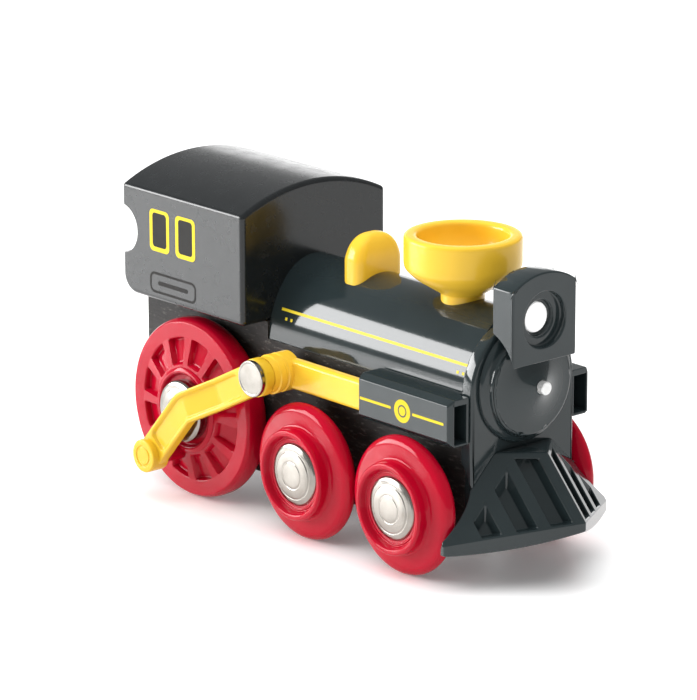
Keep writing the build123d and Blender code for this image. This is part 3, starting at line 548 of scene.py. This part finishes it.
CRANK_EYE = [
    (0, 18.3, 0), (1.2, 18.3, 0.15), (1.2, 19.0, 0), (2.75, 19.0, 0.25), (2.75, 22.3, 0.35),
    (1.8, 22.3, 0.08), (1.7, 22.15, 0.08), (1.5, 22.15, 0.08), (1.4, 22.3, 0.08), (0, 22.3, 0),
]
PIN_CAP = [
    (0, 11.8, 0), (1.1, 11.8, 0), (1.1, 19.45, 0), (2.95, 19.45, 0.1), (2.95, 20.2, 0.2),
    (2.6, 20.2, 0.06), (2.5, 20.12, 0.06), (2.3, 20.14, 0.1), (0, 20.2, 0),
]
for name, side in SIDES:
    piece(f"rod_{name}_moulded", *rod_mesh(side), f"{name}_rod", "lemon_plastic", [f"rod_{name}"])
    verts, faces = lathe(soften(CRANK_EYE), across(CRANK.x, CRANK.y, side), EYE_SEGMENTS)
    piece(f"crank_eye_{name}", verts, faces, f"{name}_rod", "lemon_plastic")
    verts, faces = lathe(soften(PIN_CAP), across(PIN.x, PIN.y, side), EYE_SEGMENTS)
    piece(f"pin_cap_{name}", verts, faces, f"{name}_crosshead", "nickel", [f"piston_pin_{name}"])

# ------------------------------------------------------------------ printed lines and windows
PRINT_LIFT = 0.02
PRINT_LOOKS = {
    "print_yellow": look(
        "print_yellow", (0.7, 0.54, 0.02), (0.76, 0.6, 0.03), (0.3, 0.4), bump=0.1, specular=0.15,
    ),
    "print_dark": look(
        "print_dark", (0.018, 0.017, 0.016), (0.026, 0.025, 0.024), (0.4, 0.5), bump=0.05, specular=0.1,
    ),
}
CAB_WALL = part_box("cab_block")[1].y / MM
BOX_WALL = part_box("cylinder_left")[1].y / MM


def printed(name, verts, faces, ink):
    """A thin printed piece on the frame."""
    made = piece(name, verts, faces, "frame", "yellow_plastic" if ink == "print_yellow" else "black_plastic")
    made.data.materials[0] = PRINT_LOOKS[ink]


def band_between(outer, inner, side, wall):
    """Flat ring between two loops of (x, z) points on a side wall."""
    verts = [(x, side * (wall + PRINT_LIFT), z) for x, z in outer + inner]
    count = len(outer)
    faces = [(k, (k + 1) % count, count + (k + 1) % count, count + k) for k in range(count)]
    return verts, faces


def window_loop(x0, x1, z0, z1, corner):
    """Rounded rectangle of (x, z) points between two x and two z values."""
    loop = rounded_loop((x1 - x0) / 2, (z1 - z0) / 2, corner)
    return [((x0 + x1) / 2 + x, (z0 + z1) / 2 + z) for x, z in loop]


def disc_loop(x, z, radius, count=48):
    return [
        (x + radius * math.cos(2 * math.pi * k / count), z + radius * math.sin(2 * math.pi * k / count))
        for k in range(count)
    ]


def filled(loop, side, wall):
    """Flat face inside a loop of (x, z) points on a side wall."""
    return [(x, side * (wall + PRINT_LIFT), z) for x, z in loop], [tuple(range(len(loop)))]


def circle_through(a, b, c):
    """Centre and radius of the circle through three (y, z) points."""
    d = 2 * (a[0] * (b[1] - c[1]) + b[0] * (c[1] - a[1]) + c[0] * (a[1] - b[1]))
    sq = [p[0] ** 2 + p[1] ** 2 for p in (a, b, c)]
    y = (sq[0] * (b[1] - c[1]) + sq[1] * (c[1] - a[1]) + sq[2] * (a[1] - b[1])) / d
    z = (sq[0] * (c[0] - b[0]) + sq[1] * (a[0] - c[0]) + sq[2] * (b[0] - a[0])) / d
    return y, z, math.hypot(a[0] - y, a[1] - z)


# (y, z) of three points on the round side of the boiler
BOILER_FLANK = ((9.8, 28.8), (8.9, 33.6), (5.4, 39.2))
SIDE_Y, SIDE_Z, SIDE_R = circle_through(*BOILER_FLANK)


def boiler_patch(x0, x1, z0, z1, side, rows=4, columns=24):
    """Thin strip that follows the curved side of the boiler."""
    verts = []
    for row in range(rows + 1):
        z = z0 + (z1 - z0) * row / rows
        y = SIDE_Y + math.sqrt((SIDE_R + PRINT_LIFT) ** 2 - (z - SIDE_Z) ** 2)
        for column in range(columns + 1):
            verts.append((x0 + (x1 - x0) * column / columns, side * y, z))
    faces = []
    for row in range(rows):
        for column in range(columns):
            k = row * (columns + 1) + column
            faces.append((k, k + 1, k + columns + 2, k + columns + 1))
    return verts, faces


# the panel's loops and bar are (rear x, front x, low z, high z, corner)
WINDOWS = ((-34.4, -29.4), (-27.8, -22.8))
FRAME_Z, FRAME_CORNER = (39.9, 46.9), 0.9
GLASS_Z, GLASS_CORNER = (40.65, 46.35), 0.6
GLASS_REAR_INSET, GLASS_FRONT_INSET = 0.75, 0.72
PANEL_OUTER = (-34.5, -22.7, 32.9, 36.4, 1.2)
PANEL_INNER = (-34.1, -23.1, 33.3, 36.0, 0.8)
PANEL_BAR = (-32.4, -24.8, 34.3, 35.0, 0.34)
BOILER_LINE = (-8.9, 35.5, 33.78, 34.2)
DOT_GROUPS = (("rear", -7.6), ("front", 32.7))
DOT_PITCH, DOT_WIDTH = 1.25, 0.5
DOT_Z = (32.45, 32.9)
BOX_DASHES = ((16.7, 23.9), (28.8, 35.9))
DASH_Z, DASH_CORNER = (25.88, 26.32), 0.18
EMBLEM = (26.5, 26.1)
EMBLEM_OUTER, EMBLEM_INNER, EMBLEM_SPOT = 1.84, 1.0, 0.75
for name, side in SIDES:
    for index, (x0, x1) in enumerate(WINDOWS):
        outer = window_loop(x0, x1, *FRAME_Z, FRAME_CORNER)
        inner = window_loop(x0 + GLASS_REAR_INSET, x1 - GLASS_FRONT_INSET, *GLASS_Z, GLASS_CORNER)
        printed(f"window_frame_{name}_{index}", *band_between(outer, inner, side, CAB_WALL), "print_yellow")
        printed(f"window_glass_{name}_{index}", *filled(inner, side, CAB_WALL), "print_dark")
    panel = (window_loop(*PANEL_OUTER), window_loop(*PANEL_INNER))
    printed(f"cab_panel_{name}", *band_between(*panel, side, CAB_WALL), "print_dark")
    printed(f"cab_bar_{name}", *filled(window_loop(*PANEL_BAR), side, CAB_WALL), "print_dark")
    printed(f"boiler_line_{name}", *boiler_patch(*BOILER_LINE, side), "print_yellow")
    for end, x in DOT_GROUPS:
        for index in (0, 1):
            rear = x + index * DOT_PITCH
            dot = boiler_patch(rear, rear + DOT_WIDTH, *DOT_Z, side, 2, 2)
            printed(f"boiler_dot_{name}_{end}_{index}", *dot, "print_yellow")
    for index, (x0, x1) in enumerate(BOX_DASHES):
        dash = window_loop(x0, x1, *DASH_Z, DASH_CORNER)
        printed(f"box_dash_{name}_{index}", *filled(dash, side, BOX_WALL), "print_yellow")
    ring = (disc_loop(*EMBLEM, EMBLEM_OUTER), disc_loop(*EMBLEM, EMBLEM_INNER))
    printed(f"box_ring_{name}", *band_between(*ring, side, BOX_WALL), "print_yellow")
    printed(f"box_spot_{name}", *filled(disc_loop(*EMBLEM, EMBLEM_SPOT), side, BOX_WALL), "print_yellow")


# ------------------------------------------------------------------ floor, light and camera
FLOOR_SIZE = 8
SKY_LEVEL = 0.38
bpy.ops.mesh.primitive_plane_add(size=FLOOR_SIZE)
floor = bpy.context.object
floor.name = "studio_floor"
floor.data.materials.append(
    look(
        "studio_floor", (0.93, 0.93, 0.93), (0.95, 0.95, 0.95), (0.3, 0.34),
        patch=3, grain=40, bump=0.0, specular=0.2, glow=0.13,
    )
)

world = bpy.data.worlds.new("studio")
bpy.context.scene.world = world
world.use_nodes = True
background = world.node_tree.nodes["Background"]
background.inputs["Color"].default_value = (1, 1, 1, 1)
background.inputs["Strength"].default_value = SKY_LEVEL


def softbox(name, position, target, size, power):
    """Rectangular area light; position, target and size in metres, power in watts."""
    light = bpy.data.lights.new(name, "AREA")
    light.shape = "RECTANGLE"
    light.size, light.size_y = size
    light.energy = power
    lamp = bpy.data.objects.new(name, light)
    bpy.context.scene.collection.objects.link(lamp)
    lamp.location = Vector(position) + DATUM
    lamp.rotation_mode = "QUATERNION"
    lamp.rotation_quaternion = (Vector(target) - Vector(position)).to_track_quat("-Z", "Y")
    return lamp


softbox("side_panel", (-0.9, -0.76, 0.33), (0, 0, 0.1), (0.9, 0.45), 16)
overhead = softbox("overhead", (0.0, 0.0, 1.7), (0, 0, 0), (2.4, 2.4), 46)
overhead.visible_glossy = False  # the dark pieces show the sky above them and not this panel
softbox("back_panel", (-0.8, 0.7, 0.12), (0, 0, 0.1), (0.95, 0.3), 1.2)
softbox("table_card", (-0.2, -0.175, 0.004), (-0.2, -0.175, 1), (0.24, 0.24), 0.115)

VIEW_TARGET = Vector((-2.85, 0, 26.73)) * MM + DATUM
VIEW_DISTANCE = 699.9 * MM
VIEW_AZIMUTH = math.radians(48.78)
VIEW_ELEVATION = math.radians(16.08)
VIEW_ROLL = math.radians(-0.16)
SENSOR_WIDTH = 36
LENS_LENGTH = 224.4034
back = Vector(
    (
        math.sin(VIEW_AZIMUTH) * math.cos(VIEW_ELEVATION),
        -math.cos(VIEW_AZIMUTH) * math.cos(VIEW_ELEVATION),
        math.sin(VIEW_ELEVATION),
    )
)
camera = bpy.data.objects.new("camera", bpy.data.cameras.new("camera"))
bpy.context.scene.collection.objects.link(camera)
camera.data.sensor_width = SENSOR_WIDTH
camera.data.lens = LENS_LENGTH
camera.location = VIEW_TARGET + back * VIEW_DISTANCE
camera.rotation_mode = "QUATERNION"
roll = Matrix.Rotation(VIEW_ROLL, 4, "Z").to_quaternion()
camera.rotation_quaternion = (-back).to_track_quat("-Z", "Y") @ roll
bpy.context.scene.camera = camera
bpy.context.scene.view_settings.view_transform = "Standard"
